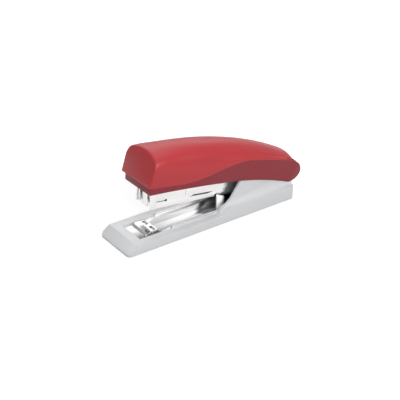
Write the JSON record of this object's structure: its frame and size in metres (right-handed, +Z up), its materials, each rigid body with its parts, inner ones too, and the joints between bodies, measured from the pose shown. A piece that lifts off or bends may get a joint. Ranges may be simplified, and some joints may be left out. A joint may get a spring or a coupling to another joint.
{
  "type": "desktop stapler",
  "caption": "Hand stapler with a long low base, a steel magazine raised over a grooved anvil, and an arched plastic cap hinged at the rear.",
  "frame": {"origin": "middle of the base's underside, on the table", "axes": "+X from the mouth to the hinge, +Y across, +Z up"},
  "size_m": [0.1271, 0.031, 0.0565],
  "materials": {
    "base_plastic": "smooth satin gloss, light grey",
    "cap_plastic": "satin, red",
    "pad_rubber": "matte, fine grain",
    "plate_steel": "finely brushed, bright",
    "frame_steel": "rolled, zinc plated",
    "nickel": "polished nickel plate",
    "fastener_steel": "turned, plated",
    "spring_steel": "blued, satin",
    "follower_plastic": "satin, dark grey"
  },
  "bodies": {
    "base": {"base_shell": "base_plastic", "bottom_pad": "pad_rubber", "base_plate": "plate_steel", "plate_screws": "fastener_steel", "anvil": "nickel", "anvil_rivet": "fastener_steel", "return_spring": "spring_steel", "return_spring_rivets": "fastener_steel", "pivot_pin": "fastener_steel"},
    "magazine": {"magazine_body": "nickel", "staple_rail": "frame_steel", "rail_rivets": "fastener_steel", "pivot_bush": "fastener_steel", "spring_rod": "nickel", "spring_bridge": "plate_steel", "bridge_rivets": "fastener_steel", "follower_spring": "spring_steel"},
    "pusher": {"follower": "follower_plastic"},
    "handle": {"cap_shell": "cap_plastic", "handle_frame": "frame_steel", "frame_screws": "fastener_steel", "driver_blade": "spring_steel", "driver_rivets": "fastener_steel", "handle_spring": "spring_steel"}
  },
  "joints": [
    {"name": "magazine_hinge", "type": "hinge", "parent": "base", "child": "magazine", "pos_m": [0.057, 0, 0.0192], "axis": [0, 1, 0], "range_deg": [-8.2, 0], "stiffness_Nm_per_rad": 2, "springref_deg": 3.44, "deforming": ["return_spring"]},
    {"name": "handle_hinge", "type": "hinge", "parent": "magazine", "child": "handle", "pos_m": [0.057, 0, 0.0192], "axis": [0, 1, 0], "range_deg": [-5.5, 50], "stiffness_Nm_per_rad": 0.8, "springref_deg": 2.01, "deforming": ["handle_spring"]},
    {"name": "follower_slide", "type": "slide", "parent": "magazine", "child": "pusher", "axis": [0.9936, 0, -0.1132], "range_m": [0, 0.052], "stiffness_N_per_m": 40, "springref_m": -0.05, "deforming": ["follower_spring"]}
  ]
}
